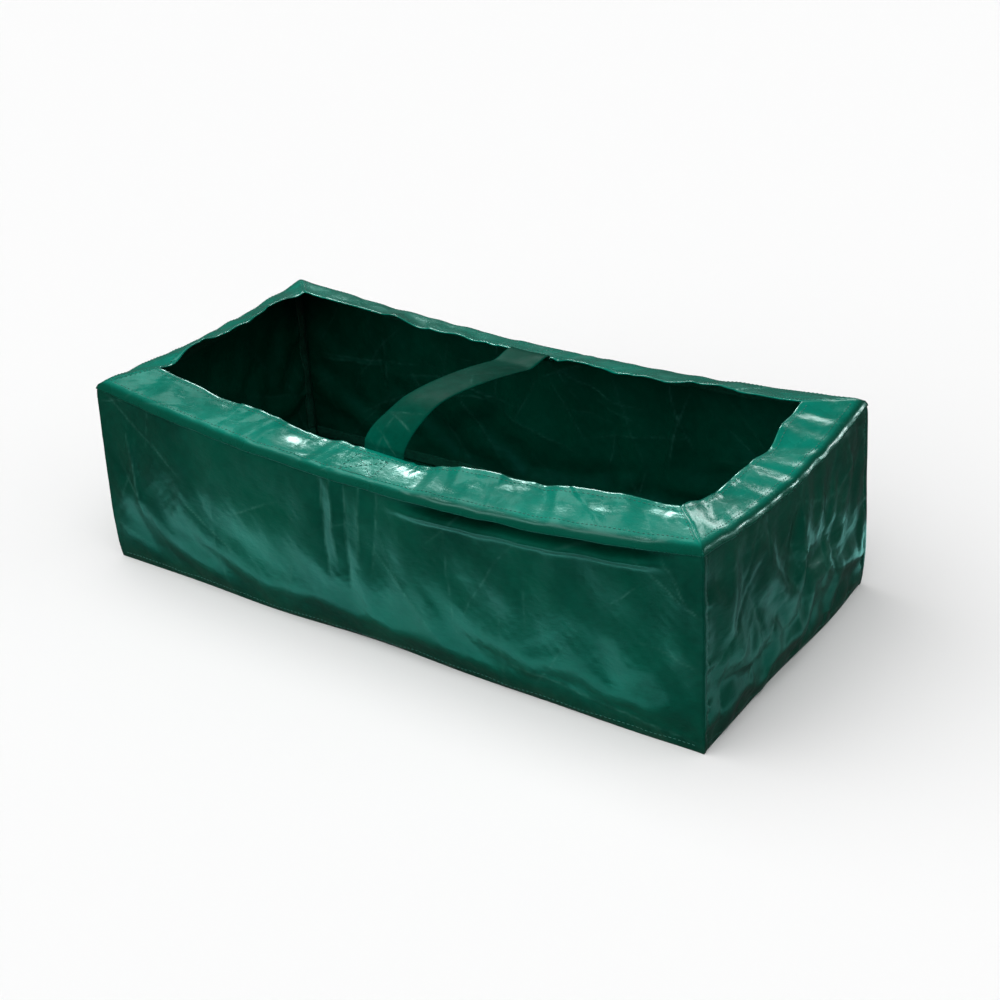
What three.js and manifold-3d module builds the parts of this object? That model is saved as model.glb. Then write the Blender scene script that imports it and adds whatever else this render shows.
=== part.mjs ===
// A long rectangular grow bag sewn from laminated woven polyethylene, standing open and empty.
// Four walls and a base are sewn into a box, a double band is turned in around the rim with mitred
// corners, and a double strap crosses the mouth at mid-length to tie the long walls together.
// Millimetres, +Z up. The origin is on the ground under the centre, +X runs along the bag and the
// long wall that faces -Y is the front.
import * as THREE from "three";
import { mergeVertices } from "three/addons/utils/BufferGeometryUtils.js";
import Module from "manifold-3d";

// Overall size, taken at the four corners of the rim.
const length = 760;
const width = 352;
const height = 220;
const spread = 6; // how far the base stands out past the rim, on each side

// Cloth.
const cloth = 1; // one layer, laminate included
const double = 2 * cloth; // the collar and the strap are folded double
const gap = 0.3; // clearance between pieces that touch

// How the filled-out bag departs from a box, at the middle of a wall.
const longSag = 28; // dip of the rim
const longBow = 6; // outward lean of the rim
const longBelly = 9; // outward bulge at half height
const endSag = 12;
const endBow = 5;
const endBelly = 6;

// Collar: the band turned in around the rim.
const collarWidth = 50;
const collarOverhang = 2; // how far its outer fold stands proud of the wall
const collarRise = 6; // its inner edge lies higher than its outer one
const mitreGap = 0.25;

// Strap.
const strapWidth = 50;
const strapRise = 16; // its highest point stands this far above the corners of the rim
const strapCrownAt = -54; // where along Y that is: the strap stands steeper at the front
const strapTurn = 4; // it turns up this far inside the collar's inner edge
const strapEndX = { front: -18, back: 0 }; // where along X its two ends are sewn

// Seams: raw edges bound in folded tape on the inside, and rows of topstitching on the outside.
const bindingWidth = 12;
const bindingThickness = 2.2;
const thread = 0.8; // width of a stitched row
const threadHeight = 0.6;
const cornerStitchInset = 6;
const baseStitchHeight = 7;
const collarStitchInset = 6;
const mitreStitchInset = 5;
const stitchEndClear = 3; // a row stops this far short of the row that it meets

// Drain holes melted through the base, since the laminate holds water.
const drainRows = 2;
const drainColumns = 3;
const drainPitchX = 250;
const drainPitchY = 190;
const drainRadius = 5;

// Mesh density.
const alongLong = 16;
const alongEnd = 8;
const upWall = 8;
const roundSegments = 16;
const strapSteps = 7; // per stretch of its path

const colours = {
  laminate: 0x00684f,
  binding: 0x0b4a3b,
  thread: 0x07583f,
};
const materials = {
  laminate: new THREE.MeshStandardMaterial({ color: colours.laminate, roughness: 0.35, metalness: 0 }),
  binding: new THREE.MeshStandardMaterial({ color: colours.binding, roughness: 0.7, metalness: 0 }),
  thread: new THREE.MeshStandardMaterial({ color: colours.thread, roughness: 0.8, metalness: 0 }),
};

const wasm = await Module();
wasm.setup();

const bag = new THREE.Group();

function addPiece(parent, name, geometry, material) {
  const mesh = new THREE.Mesh(geometry, materials[material]);
  mesh.name = name;
  parent.add(mesh);
  return mesh;
}

// --- Solids ---------------------------------------------------------------------------------

// A closed solid between two sheets of points. at(i, j, face) is the point in column i and row j
// of the first sheet (face 0) or the second (face 1).
function sheetSolid(columns, rows, at) {
  const points = [];
  const index = (i, j, face) => (face * (columns + 1) + i) * (rows + 1) + j;
  for (const face of [0, 1])
    for (let i = 0; i <= columns; i++)
      for (let j = 0; j <= rows; j++) points.push(...at(i, j, face));

  const triangles = [];
  const quad = (a, b, c, d) => triangles.push(a, b, c, a, c, d);
  for (let i = 0; i < columns; i++)
    for (let j = 0; j < rows; j++) {
      quad(index(i, j, 0), index(i + 1, j, 0), index(i + 1, j + 1, 0), index(i, j + 1, 0));
      quad(index(i, j, 1), index(i, j + 1, 1), index(i + 1, j + 1, 1), index(i + 1, j, 1));
    }
  for (let i = 0; i < columns; i++) {
    quad(index(i, 0, 1), index(i + 1, 0, 1), index(i + 1, 0, 0), index(i, 0, 0));
    quad(index(i, rows, 0), index(i + 1, rows, 0), index(i + 1, rows, 1), index(i, rows, 1));
  }
  for (let j = 0; j < rows; j++) {
    quad(index(0, j, 0), index(0, j + 1, 0), index(0, j + 1, 1), index(0, j, 1));
    quad(index(columns, j, 1), index(columns, j + 1, 1), index(columns, j + 1, 0), index(columns, j, 0));
  }

  const geometry = new THREE.BufferGeometry();
  geometry.setAttribute("position", new THREE.Float32BufferAttribute(points, 3));
  geometry.setIndex(triangles);
  geometry.computeVertexNormals();
  return geometry;
}

// Every piece on a side shares one set of knots, so that the facets of neighbouring layers line up.
// This gives the ends of a range and the knots of [low, high] that lie between them.
function knots([from, to], [low, high], count) {
  const values = [from];
  for (let k = 0; k <= count; k++) {
    const value = low + ((high - low) * k) / count;
    if (value > from + 1e-6 && value < to - 1e-6) values.push(value);
  }
  values.push(to);
  return values;
}

// A curve over [low, high] as the chords between its knots.
function chords(curve, [low, high], count, value) {
  const step = (high - low) / count;
  const k = THREE.MathUtils.clamp(Math.floor((value - low) / step), 0, count - 1);
  const start = low + k * step;
  return THREE.MathUtils.lerp(curve(start), curve(start + step), (value - start) / step);
}

function toManifold(geometry) {
  geometry.deleteAttribute("normal");
  geometry.deleteAttribute("uv");
  const merged = mergeVertices(geometry, 1e-4);
  return new wasm.Manifold(
    new wasm.Mesh({
      numProp: 3,
      vertProperties: merged.attributes.position.array,
      triVerts: new Uint32Array(merged.index.array),
    }),
  );
}

function fromManifold(solid) {
  const mesh = solid.getMesh();
  const geometry = new THREE.BufferGeometry();
  geometry.setAttribute("position", new THREE.BufferAttribute(mesh.vertProperties, 3));
  geometry.setIndex(new THREE.BufferAttribute(mesh.triVerts, 1));
  geometry.computeVertexNormals();
  return geometry;
}

// --- The four sides -------------------------------------------------------------------------

// A side is modelled facing -Y, with x along it, and turned into place by its group. half is half
// its length and reach its distance from the bag's centre, both at the rim. The end walls run the
// full width and the long walls stand between them.
const longSide = {
  half: length / 2,
  reach: width / 2,
  sag: longSag,
  bow: longBow,
  belly: longBelly,
  columns: alongLong,
  wallEnd: cloth + gap,
  bindingEnd: cloth + gap,
};
const endSide = {
  half: width / 2,
  reach: length / 2,
  sag: endSag,
  bow: endBow,
  belly: endBelly,
  columns: alongEnd,
  wallEnd: 0,
  bindingEnd: cloth + gap + bindingThickness + gap,
};
const sides = [
  { name: "front", shape: longSide, turn: 0 },
  { name: "right", shape: endSide, turn: Math.PI / 2 },
  { name: "back", shape: longSide, turn: Math.PI },
  { name: "left", shape: endSide, turn: -Math.PI / 2 },
];

const across = [-1, 1];
const upward = [0, 1];
const arch = (side, u) => chords((t) => 1 - t * t, across, side.columns, u);
const swell = (v) => chords((t) => Math.sin(Math.PI * t), upward, upWall, v);
const wallTop = (side, u) => height - side.sag * arch(side, u) - double - gap;

// A point of a wall: u from -1 to 1 along it, v from 0 to 1 up it, depth inwards from its outer face.
function wallPoint(side, u, v, depth) {
  const flare = spread * (1 - v);
  const out = (side.bow * v + side.belly * swell(v)) * arch(side, u);
  return [u * (side.half + flare), depth - side.reach - flare - out, v * wallTop(side, u)];
}

// A piece that follows a wall, between two values of u, of v and of depth.
function wallPiece(side, uRange, vRange, [near, far]) {
  const us = knots(uRange, across, side.columns);
  const vs = knots(vRange, upward, upWall);
  return sheetSolid(us.length - 1, vs.length - 1, (i, j, face) =>
    wallPoint(side, us[i], vs[j], face ? far : near),
  );
}

// A point of the collar: w runs from 0 at its outer fold to 1 at its inner edge.
function collarPoint(side, u, w, lift) {
  const inset = (collarWidth + collarOverhang) * w - collarOverhang;
  return [
    u * (side.half - inset),
    inset - side.reach - side.bow * arch(side, u),
    height - side.sag * arch(side, u) + collarRise * w + lift,
  ];
}

function collarPiece(side, uRange, [w0, w1], [low, high]) {
  const us = knots(uRange, across, side.columns);
  return sheetSolid(us.length - 1, 1, (i, j, face) =>
    collarPoint(side, us[i], j ? w1 : w0, face ? low : high),
  );
}

// --- Panels ---------------------------------------------------------------------------------

function addWall(group, name, side) {
  const end = 1 - side.wallEnd / side.half;
  addPiece(group, name, wallPiece(side, [-end, end], upward, [0, cloth]), "laminate");
}

function addCollar(group, name, side) {
  const end = 1 - mitreGap / side.half;
  addPiece(group, name, collarPiece(side, [-end, end], [0, 1], [-double, 0]), "laminate");
}

// --- Seams ----------------------------------------------------------------------------------

const bindingDepth = [cloth + gap, cloth + gap + bindingThickness];
const threadDepth = [-gap - threadHeight, -gap];
const threadLift = [gap, gap + threadHeight];

// Bound seams at the foot and the top of a wall, on its inner face.
function addEdgeBindings(group, name, side) {
  const end = 1 - side.bindingEnd / side.half;
  const top = wallTop(side, 1);
  const foot = cloth + gap;
  const rows = {
    base: [foot / top, (foot + bindingWidth) / top],
    rim: [1 - bindingWidth / top, 1 - gap / top],
  };
  for (const [row, v] of Object.entries(rows))
    addPiece(group, `${name}_${row}_binding`, wallPiece(side, [-end, end], v, bindingDepth), "binding");
}

// The two upright corner seams of an end wall: a bound seam inside and its topstitching outside.
function addCornerSeams(group, side, names) {
  const top = wallTop(side, 1);
  const low = (cloth + gap + bindingWidth + gap) / top;
  const high = 1 - (bindingWidth + gap) / top;
  const tapeStart = 1 - (cloth + gap) / side.half;
  const tapeEnd = tapeStart - bindingWidth / side.half;
  const row = 1 - cornerStitchInset / side.half;
  const rowEnd = row - thread / side.half;
  const clear = (baseStitchHeight + stitchEndClear) / top;
  for (const [name, hand] of names) {
    const span = (a, b) => (hand < 0 ? [-a, -b] : [b, a]);
    const tape = wallPiece(side, span(tapeStart, tapeEnd), [low, high], bindingDepth);
    const stitch = wallPiece(side, span(row, rowEnd), [clear, 1 - clear], threadDepth);
    addPiece(group, `${name}_corner_binding`, tape, "binding");
    addPiece(group, `${name}_corner_stitching`, stitch, "thread");
  }
}

// Topstitching along the foot of a wall and along both edges of its collar.
function addEdgeStitching(group, name, side) {
  const end = 1 - (cornerStitchInset + stitchEndClear) / side.half;
  const top = wallTop(side, 1);
  const foot = [baseStitchHeight / top, (baseStitchHeight + thread) / top];
  addPiece(group, `${name}_base_stitching`, wallPiece(side, [-end, end], foot, threadDepth), "thread");

  const span = collarWidth + collarOverhang;
  const collarEnd = 1 - (mitreStitchInset + stitchEndClear) / side.half;
  const inset = collarStitchInset / span;
  const rows = {
    rim: [inset, inset + thread / span],
    hem: [1 - inset - thread / span, 1 - inset],
  };
  for (const [row, w] of Object.entries(rows)) {
    const geometry = collarPiece(side, [-collarEnd, collarEnd], w, threadLift);
    addPiece(group, `${name}_${row}_stitching`, geometry, "thread");
  }
}

// Topstitching beside the two mitres of a long collar.
function addMitreStitching(group, name, side) {
  const near = 1 - mitreStitchInset / side.half;
  const far = near - thread / side.half;
  const clear = (collarStitchInset + stitchEndClear) / (collarWidth + collarOverhang);
  for (const [place, u] of [["left", [-near, -far]], ["right", [far, near]]]) {
    const end = name === "front" ? place : { left: "right", right: "left" }[place];
    const geometry = collarPiece(side, u, [clear, 1 - clear], threadLift);
    addPiece(group, `${name}_${end}_mitre_stitching`, geometry, "thread");
  }
}

// --- Base -----------------------------------------------------------------------------------

// The base panel lies between the feet of the four walls.
function addBase() {
  const inside = spread - cloth - gap;
  const slab = new THREE.BoxGeometry(length + 2 * inside, width + 2 * inside, cloth);
  slab.translate(0, 0, cloth / 2);
  let panel = toManifold(slab);
  for (let row = 0; row < drainRows; row++)
    for (let column = 0; column < drainColumns; column++) {
      const x = (column - (drainColumns - 1) / 2) * drainPitchX;
      const y = (row - (drainRows - 1) / 2) * drainPitchY;
      const hole = new THREE.CylinderGeometry(drainRadius, drainRadius, 3 * cloth, roundSegments);
      hole.rotateX(Math.PI / 2);
      hole.translate(x, y, cloth / 2);
      panel = panel.subtract(toManifold(hole));
    }
  addPiece(bag, "base_panel", fromManifold(panel), "laminate");
}

// --- Strap ----------------------------------------------------------------------------------

// The strap's centreline as a path of (y, z). Each end lies flat under a long collar and turns up
// round the collar's inner edge, and the stretch between the two edges stands up as an arch.
function strapPath() {
  const slope = collarRise / (collarWidth + collarOverhang);
  const rim = width / 2 + longBow;
  const under = (y) => height - longSag + slope * (rim + collarOverhang - y) - double - gap - cloth;
  const start = rim - bindingDepth[1] - gap;
  const edge = rim - collarWidth;
  const turn = edge - strapTurn;
  const floor = under(edge);
  const crown = height + strapRise;
  const top = floor + 2 * strapTurn;
  const path = new THREE.Path();
  path.moveTo(-start, under(start));
  path.lineTo(-edge, floor);
  path.quadraticCurveTo(-turn, floor, -turn, top);
  path.bezierCurveTo(8 - turn, top + 14, strapCrownAt - 35, crown, strapCrownAt, crown);
  path.bezierCurveTo(strapCrownAt + 60, crown, turn - 20, top + 12, turn, top);
  path.quadraticCurveTo(turn, floor, edge, floor);
  path.lineTo(start, under(start));
  return path;
}

// A ribbon of a given thickness around a path of (y, z), extruded across its width. It runs straight
// from one place along X to another between y = -reach and y = reach.
function ribbon(path, thickness, across, reach, [fromX, toX]) {
  const points = path.getPoints(strapSteps);
  const offset = (side) =>
    points.map((point, k) => {
      const before = points[Math.max(k - 1, 0)];
      const after = points[Math.min(k + 1, points.length - 1)];
      const along = after.clone().sub(before).normalize();
      return new THREE.Vector2(-along.y, along.x).multiplyScalar((side * thickness) / 2).add(point);
    });
  const outline = new THREE.Shape([...offset(-1), ...offset(1).reverse()]);
  const geometry = new THREE.ExtrudeGeometry(outline, { depth: across, bevelEnabled: false, steps: 1 });
  geometry.translate(0, 0, (fromX + toX - across) / 2);
  const alongY = new THREE.Vector3((toX - fromX) / (2 * reach), 1, 0);
  const axes = [alongY, new THREE.Vector3(0, 0, 1), new THREE.Vector3(1, 0, 0)];
  return geometry.applyMatrix4(new THREE.Matrix4().makeBasis(...axes));
}

// The boxed cross of stitches that holds a strap end, as a flat figure of thread.
function boxedCross(across, tall) {
  const rectangle = (x, y) => [[-x, -y], [x, -y], [x, y], [-x, y]].map((p) => new THREE.Vector2(...p));
  const figure = new THREE.Shape(rectangle(across / 2, tall / 2));
  const inX = across / 2 - thread;
  const inY = tall / 2 - thread;
  const wide = thread; // half the width of a diagonal, along the side that it leaves
  const triangle = (...corners) => new THREE.Path(corners.map((p) => new THREE.Vector2(...p)));
  figure.holes = [
    triangle([-inX + wide, -inY], [inX - wide, -inY], [0, -wide]),
    triangle([inX - wide, inY], [-inX + wide, inY], [0, wide]),
    triangle([inX, -inY + wide], [inX, inY - wide], [wide, 0]),
    triangle([-inX, inY - wide], [-inX, -inY + wide], [-wide, 0]),
  ];
  return new THREE.ExtrudeGeometry(figure, { depth: threadHeight, bevelEnabled: false });
}

function addStrap() {
  const ends = [strapEndX.front, strapEndX.back];
  const geometry = ribbon(strapPath(), double, strapWidth, width / 2 + longBow, ends);
  addPiece(bag, "cross_strap", geometry, "laminate");
}

function addStrapStitching(group, name, side) {
  const span = collarWidth + collarOverhang;
  const middle = 0.5;
  const [, y, z] = collarPoint(side, 0, middle, 2 * gap);
  const figure = boxedCross(strapWidth - 10, span - 2 * collarStitchInset - 12);
  const mesh = addPiece(group, `${name}_strap_stitching`, figure, "thread");
  mesh.position.set(name === "front" ? strapEndX.front : -strapEndX.back, y, z);
  mesh.rotation.x = Math.atan2(collarRise, span);
}

// --- Assembly -------------------------------------------------------------------------------

for (const { name, shape, turn } of sides) {
  const group = new THREE.Group();
  group.rotation.z = turn;
  bag.add(group);
  addWall(group, shape === longSide ? `${name}_wall` : `${name}_end_wall`, shape);
  addCollar(group, `${name}_collar`, shape);
  addEdgeBindings(group, name, shape);
  addEdgeStitching(group, name, shape);
  if (shape === longSide) {
    addMitreStitching(group, name, shape);
    addStrapStitching(group, name, shape);
  } else {
    const [low, high] = name === "right" ? ["front", "back"] : ["back", "front"];
    addCornerSeams(group, shape, [[`${low}_${name}`, -1], [`${high}_${name}`, 1]]);
  }
}
addBase();
addStrap();

export default bag;
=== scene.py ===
import math

import bpy
import numpy as np
from mathutils import Matrix, Vector


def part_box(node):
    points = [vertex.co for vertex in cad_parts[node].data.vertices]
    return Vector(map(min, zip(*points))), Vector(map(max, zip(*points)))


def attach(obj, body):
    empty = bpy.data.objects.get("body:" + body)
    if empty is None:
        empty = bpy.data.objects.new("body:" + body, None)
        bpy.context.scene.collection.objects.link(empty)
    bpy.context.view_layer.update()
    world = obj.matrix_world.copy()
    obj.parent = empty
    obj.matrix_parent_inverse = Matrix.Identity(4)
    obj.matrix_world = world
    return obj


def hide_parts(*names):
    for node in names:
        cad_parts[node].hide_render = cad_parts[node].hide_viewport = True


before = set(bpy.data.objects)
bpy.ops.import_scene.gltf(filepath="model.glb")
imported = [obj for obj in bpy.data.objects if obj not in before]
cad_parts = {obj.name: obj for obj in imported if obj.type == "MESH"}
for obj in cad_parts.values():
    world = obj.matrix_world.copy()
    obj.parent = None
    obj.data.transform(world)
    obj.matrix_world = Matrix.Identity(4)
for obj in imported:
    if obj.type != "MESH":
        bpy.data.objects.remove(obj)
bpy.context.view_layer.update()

MM = 0.001
UP = np.array([0.0, 0.0, 1.0])
rng = np.random.default_rng(20)

# --- Sizes ---
# The rim, the foot, the collar and the strap come from the boxes of the CAD nodes.

collar_box = np.array(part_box("front_collar"))
end_collar_box = np.array(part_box("right_collar"))
base_box = np.array(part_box("base_panel"))
strap_box = np.array(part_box("cross_strap"))

COLLAR_WIDTH = 50 * MM
COLLAR_RISE = 6 * MM  # from the rim to the collar's inner edge
RIM_X = end_collar_box[0][0] + COLLAR_WIDTH  # half the length and half the width, at the rim
RIM_Y = -collar_box[1][1] + COLLAR_WIDTH
RIM_Z = collar_box[1][2] - COLLAR_RISE
ROLL_LOSS = 2 * MM  # what rolling the rim takes off its height
PAST_BASE = 1.3 * MM  # from the base panel's edge to the outside of the walls
FOOT_X = base_box[1][0] + PAST_BASE
FOOT_Y = base_box[1][1] + PAST_BASE
TUCK = 4 * MM  # how far the foot is drawn in under the wall

CLOTH = 0.6 * MM
BAND = 1.5 * MM  # the folded collar and strap


class Side:
    """One of the four sides. It runs along `along` and faces `out`."""

    def __init__(self, name, wall, turn, half, reach, columns, sag, bow, belly):
        self.name, self.wall = name, wall
        self.half, self.reach, self.columns = half, reach, columns
        self.sag, self.bow, self.belly = sag, bow, belly
        c, s = round(math.cos(turn)), round(math.sin(turn))
        self.along = np.array([c, s, 0.0])
        self.out = np.array([s, -c, 0.0])

    def place(self, x, y, z):
        """Points from distances along the side, inwards from its outer face line, and up."""
        return (
            np.multiply.outer(x, self.along)
            - np.multiply.outer(y, self.out)
            + np.multiply.outer(z, UP)
        )


LONG = dict(half=RIM_X, reach=RIM_Y, columns=108, sag=28 * MM, bow=6 * MM, belly=9 * MM)
END = dict(half=RIM_Y, reach=RIM_X, columns=50, sag=12 * MM, bow=5 * MM, belly=6 * MM)
BACK_SAG = 22 * MM
SIDES = [
    Side("front", "front_wall", 0, **LONG),
    Side("right", "right_end_wall", math.pi / 2, **END),
    Side("back", "back_wall", math.pi, **{**LONG, "sag": BACK_SAG}),
    Side("left", "left_end_wall", -math.pi / 2, **END),
]
WALL_ROWS, COLLAR_ROWS = 30, 8  # quads up the wall and across the collar, as simulated

# --- The sewn bag as one cloth ---


def lofted(side, u, v, w):
    """The bag's shape before it is simulated: v goes up the wall and w across the collar."""
    arch = 1 - u * u
    flare = (FOOT_X - RIM_X) * (1 - v)
    bulge = math.sin(math.pi * v**0.75)  # fullest below the middle
    lean = (side.bow * v + side.belly * bulge) * arch
    turns = u * side.half / (150 * MM)
    wander = 1 + 0.5 * np.sin(2.3 * turns + side.half * 20) + 0.3 * np.sin(4.1 * turns + 2)
    tuck = TUCK * (1 - v) ** 7
    lean = lean - tuck * (u**8 + wander * (1 - u**8))
    return side.place(
        u * (side.half + flare - COLLAR_WIDTH * w - tuck * np.abs(u) ** 7),
        COLLAR_WIDTH * w - side.reach - flare - lean,
        v * (RIM_Z + ROLL_LOSS - side.sag * arch) + COLLAR_RISE * w,
    )


def bag_mesh():
    """The rim-to-foot loop of columns, the collar turned in from it and the base, all joined."""
    rows = [(j / WALL_ROWS, 0) for j in range(WALL_ROWS + 1)]
    rows += [(1, j / COLLAR_ROWS) for j in range(1, COLLAR_ROWS + 1)]
    loop = []
    for v, w in rows:
        parts = [lofted(s, -1 + 2 * np.arange(s.columns) / s.columns, v, w) for s in SIDES]
        loop.append(np.concatenate(parts))
    loop = np.array(loop)
    count = loop.shape[1]
    index = np.arange(loop.shape[0] * count).reshape(-1, count)
    after = np.roll(index, -1, axis=1)
    walls = np.stack([index[:-1], after[:-1], after[1:], index[1:]], axis=-1).reshape(-1, 4)

    across, deep = SIDES[0].columns, SIDES[1].columns
    floor = np.zeros((across + 1, deep + 1), int)
    ring = index[0]
    floor[:across, 0] = ring[:across]
    floor[across, :deep] = ring[across : across + deep]
    floor[across:0:-1, deep] = ring[across + deep : 2 * across + deep]
    floor[0, deep:0:-1] = ring[2 * across + deep :]
    inner = np.arange((across - 1) * (deep - 1)) + index.size
    floor[1:across, 1:deep] = inner.reshape(across - 1, deep - 1)
    x = (-1 + 2 * np.arange(1, across) / across) * (FOOT_X - 2 * TUCK)
    y = (-1 + 2 * np.arange(1, deep) / deep) * (FOOT_Y - 2 * TUCK)
    base = np.stack([*np.meshgrid(x, y, indexing="ij"), np.zeros((len(x), len(y)))], axis=-1)
    corners = [floor[:-1, :-1], floor[:-1, 1:], floor[1:, 1:], floor[1:, :-1]]
    faces = np.concatenate([walls, np.stack(corners, axis=-1).reshape(-1, 4)])
    points = np.concatenate([loop.reshape(-1, 3), base.reshape(-1, 3)])
    return points, faces, index, floor


def new_object(name, points, faces):
    mesh = bpy.data.meshes.new(name)
    mesh.from_pydata(np.asarray(points).tolist(), [], [list(face) for face in faces])
    mesh.update()
    piece = bpy.data.objects.new(name, mesh)
    bpy.context.scene.collection.objects.link(piece)
    return piece


def evaluated(piece):
    return piece.evaluated_get(bpy.context.evaluated_depsgraph_get())


def weigh(piece, name, weights):
    group = piece.vertex_groups.new(name=name)
    for value in np.unique(weights.round(3)):
        found = np.nonzero(weights.round(3) == value)[0].tolist()
        group.add(found, float(value), "REPLACE")
    return name


# How firmly each zone is held to the lofted shape, and how much longer each cloth is than it.
HOLD = {"foot": 1.0, "rim": 0.95, "strap": 0.8, "low": 0.6, "collar": 0.5, "wall": 0.3}
HOLD_CORNER, HOLD_MITRE = 1.0, 0.9  # the rim's corners and the inner ends of the mitres
HOLD_SEAM = (0.9, 0.6, 0.45)  # the columns at a corner seam and next to it
FOOT_SHARE = {1: 1.0, 2: 0.75, 3: 0.5, 4: 0.25}  # how much of "low" is left in the rows above it
EXCESS = {"front": 0.001, "right": 0.013, "back": 0.008, "left": 0.012, "collar": 0.004}
TOP_SHARE = (0.0, 0.0, 0.1, 0.3, 0.5, 0.7, 0.85)  # of the excess, from the rim down
STRAP_AT, STRAP_REACH = -9 * MM, 34 * MM  # the strap's middle, and half the width that it holds
FRAMES = 24
MOST_MOVED = 16 * MM
UNEVEN_WAVES, UNEVEN_LENGTH, UNEVEN_HEIGHT = 60, 0.09, 0.18  # in metres, and millimetres high


def held_and_slack(points, index):
    """For each point, how firmly it is held and how much its cloth is too long."""
    rows = len(index)
    hold = np.ones(len(points))
    slack = np.zeros(len(points))
    starts = np.cumsum([0] + [s.columns for s in SIDES])
    hold[index] = HOLD["wall"]
    hold[index[WALL_ROWS + 1 :]] = HOLD["collar"]
    hold[index[WALL_ROWS]] = HOLD["rim"]
    hold[index[WALL_ROWS - 1]] = HOLD["low"]
    for row, share in FOOT_SHARE.items():
        hold[index[row]] = HOLD["wall"] + (HOLD["low"] - HOLD["wall"]) * share
    hold[index[0]] = HOLD["foot"]
    for k, side in enumerate(SIDES):
        columns = index[:, starts[k] : starts[k + 1]]
        slack[columns[: WALL_ROWS + 1]] = EXCESS[side.name]
        for row, share in enumerate(TOP_SHARE):
            slack[columns[WALL_ROWS - row]] = EXCESS[side.name] * share
        slack[columns[WALL_ROWS + 1 :]] = EXCESS["collar"]
        hold[columns[WALL_ROWS, 0]] = HOLD_CORNER
        for near, weight in enumerate(HOLD_SEAM):
            for column in (columns[1:WALL_ROWS, near], columns[1:WALL_ROWS, -near]):
                hold[column] = np.maximum(hold[column], weight)
        hold[columns[-1, 0]] = HOLD_MITRE
    near_strap = np.abs(points[index[-1]][:, 0] - STRAP_AT) < STRAP_REACH
    for row in range(WALL_ROWS + 1, rows):
        hold[index[row][near_strap]] = HOLD["strap"]
    return hold, slack


def uneven(points):
    """Smooth random shifts for the cloth to buckle from."""
    shifts = np.zeros_like(points)
    for _ in range(UNEVEN_WAVES):
        way = rng.normal(size=3) * 2 * math.pi / UNEVEN_LENGTH
        phase = rng.uniform(0, 2 * math.pi)
        shifts += np.sin(points @ way + phase)[:, None] * rng.normal(size=3)
    return shifts


def simulate(points, faces, index):
    """Lets the bag crumple: its cloth is a little longer than the shape that it is held to."""
    hold, slack = held_and_slack(points, index)
    piece = new_object("simulated_bag", points, faces)
    most = max(EXCESS.values())
    start = points + uneven(points) * (1 - hold)[:, None] * UNEVEN_HEIGHT * MM
    piece.data.vertices.foreach_set("co", start.ravel())
    modifier = piece.modifiers.new("cloth", "CLOTH")
    cloth = modifier.settings
    cloth.quality = 6
    cloth.mass = 0.3
    cloth.tension_stiffness = cloth.compression_stiffness = 40
    cloth.shear_stiffness = 15
    cloth.bending_stiffness = 50
    cloth.tension_damping = cloth.compression_damping = cloth.shear_damping = 5
    cloth.bending_damping = 0.5
    cloth.air_damping = 2
    cloth.vertex_group_mass = weigh(piece, "hold", hold)
    cloth.shrink_min = -most
    cloth.vertex_group_shrink = weigh(piece, "slack", 1 - slack / most)
    inflated = np.zeros(len(points))
    inflated[index[:WALL_ROWS]] = 1
    cloth.use_pressure = True
    cloth.uniform_pressure_force = 1.2
    cloth.vertex_group_pressure = weigh(piece, "inflated", inflated)
    modifier.collision_settings.use_collision = False
    modifier.collision_settings.use_self_collision = False
    modifier.point_cache.frame_end = FRAMES
    scene = bpy.context.scene
    for number in range(1, FRAMES + 1):
        scene.frame_set(number)
    seen = evaluated(piece)
    mesh = seen.to_mesh()
    settled = np.zeros(len(points) * 3)
    mesh.vertices.foreach_get("co", settled)
    seen.to_mesh_clear()
    bpy.data.objects.remove(piece)
    scene.frame_set(1)
    moved = settled.reshape(-1, 3) - points
    far = np.linalg.norm(moved, axis=1, keepdims=True)
    moved *= np.minimum(1, MOST_MOVED / np.maximum(far, 1e-9))
    settled = points + moved
    settled[:, 2] = np.maximum(settled[:, 2], 0)
    return settled


def rounded_rim(settled, index):
    """Rolls the cloth over the rim in place of a sharp fold."""
    loop = settled[index]
    near = np.arange(WALL_ROWS - 3, WALL_ROWS + 4)
    for _ in range(3):
        loop[near] = (loop[near - 1] + 2 * loop[near] + loop[near + 1]) / 4
    settled[index] = loop
    return settled


# --- Grids ---


def cubic(count, fine):
    """The matrix that resamples `count` values to `fine` along a smooth curve through them."""
    at = np.linspace(0, count - 1, fine)
    first = np.minimum(at.astype(int), count - 2)
    f = at - first
    weights = [
        (-f + 2 * f**2 - f**3) / 2,
        (2 - 5 * f**2 + 3 * f**3) / 2,
        (f + 4 * f**2 - 3 * f**3) / 2,
        (-(f**2) + f**3) / 2,
    ]
    matrix = np.zeros((fine, count))
    row = np.arange(fine)
    for shift, weight in zip((-1, 0, 1, 2), weights):
        column = first + shift
        low, high = column < 0, column > count - 1
        inside = ~(low | high)
        np.add.at(matrix, (row[inside], column[inside]), weight[inside])
        for edge, step, outside in ((0, 1, low), (count - 1, -1, high)):  # a straight run-out
            edges = np.full(outside.sum(), edge)
            np.add.at(matrix, (row[outside], edges), 2 * weight[outside])
            np.add.at(matrix, (row[outside], edges + step), -weight[outside])
    return matrix


def refined(grid, rows, columns):
    up, along = cubic(grid.shape[0], rows), cubic(grid.shape[1], columns)
    return np.einsum("ri,cj,ijk->rck", up, along, grid)


def unit(vectors):
    return vectors / np.maximum(np.linalg.norm(vectors, axis=-1, keepdims=True), 1e-12)


def normals_of(grid):
    up, along = np.gradient(grid, axis=0), np.gradient(grid, axis=1)
    return unit(np.cross(along, up))


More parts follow.
